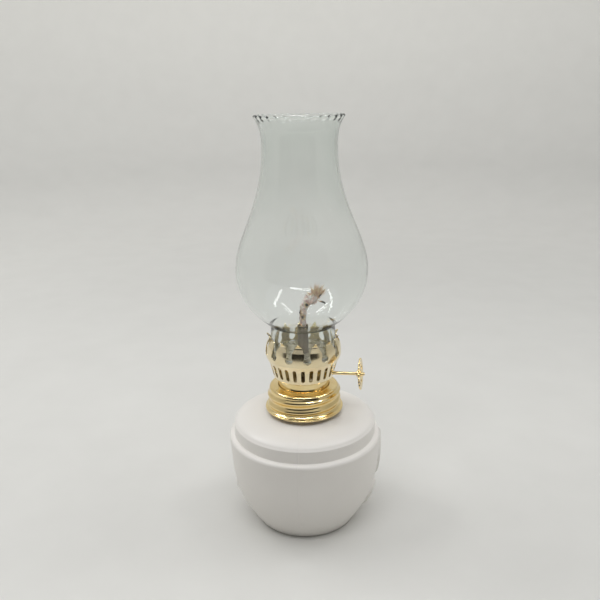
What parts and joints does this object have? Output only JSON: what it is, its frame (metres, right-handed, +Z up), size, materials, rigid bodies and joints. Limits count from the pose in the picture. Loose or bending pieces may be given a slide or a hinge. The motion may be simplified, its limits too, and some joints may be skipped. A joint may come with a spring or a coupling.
{
  "type": "kerosene lamp",
  "caption": "Small kerosene table lamp: white glazed bowl, screw-on brass burner with spring petals, round wick raised by a side knob, and a clear glass chimney with a crimped rim.",
  "frame": {"origin": "middle of the flat underside of the reservoir, where the lamp stands", "axes": "+Z up along the lamp's axis, +X along the winder's shaft towards its knob, -Y towards the reservoir's plain front"},
  "size_m": [0.0766, 0.0771, 0.2],
  "materials": {
    "glaze": "white satin glaze",
    "washer": "matte",
    "polished_brass": "polished",
    "pale_brass": "bright, pale",
    "dull_brass": "dull, smoked",
    "cotton": "braided, charred at its end",
    "clear_glass": "clear, faintly green"
  },
  "bodies": {
    "base": {"reservoir": "glaze"},
    "seal": {"neck_gasket": "washer"},
    "burner": {"screw_cap": "polished_brass", "burner_collar": "polished_brass", "tube_plate": "dull_brass", "gallery": "pale_brass", "draught_plate": "dull_brass", "wick_tube": "dull_brass", "winder_bracket": "dull_brass"},
    "winder": {"winder_shaft": "polished_brass", "spur_wheel": "dull_brass", "winder_knob": "polished_brass"},
    "wick": {"wick": "cotton"},
    "chimney": {"chimney": "clear_glass"}
  },
  "joints": [
    {"name": "burner_rise", "type": "slide", "parent": "base", "child": "seal", "axis": [0, 0, 1], "range_m": [0, 0.0079]},
    {"name": "burner_unscrew", "type": "hinge", "parent": "seal", "child": "burner", "pos_m": [0, 0, 0.0592], "axis": [0, 0, 1], "range_deg": [0, 630]},
    {"name": "knob_turn", "type": "hinge", "parent": "burner", "child": "winder", "pos_m": [0, -0.004, 0.0791], "axis": [1, 0, 0], "range_deg": [-125, 200]},
    {"name": "wick_feed", "type": "slide", "parent": "burner", "child": "wick", "axis": [0, 0, 1], "range_m": [-0.005, 0.008]},
    {"name": "chimney_lift", "type": "slide", "parent": "burner", "child": "chimney", "axis": [0, 0, 1], "range_m": [0, 0.06]}
  ],
  "couplings": [
    {"joint": "burner_rise", "follows": "burner_unscrew", "m_per_rad": 0.0007162},
    {"joint": "knob_turn", "follows": "wick_feed", "rad_per_m": 434.78}
  ]
}
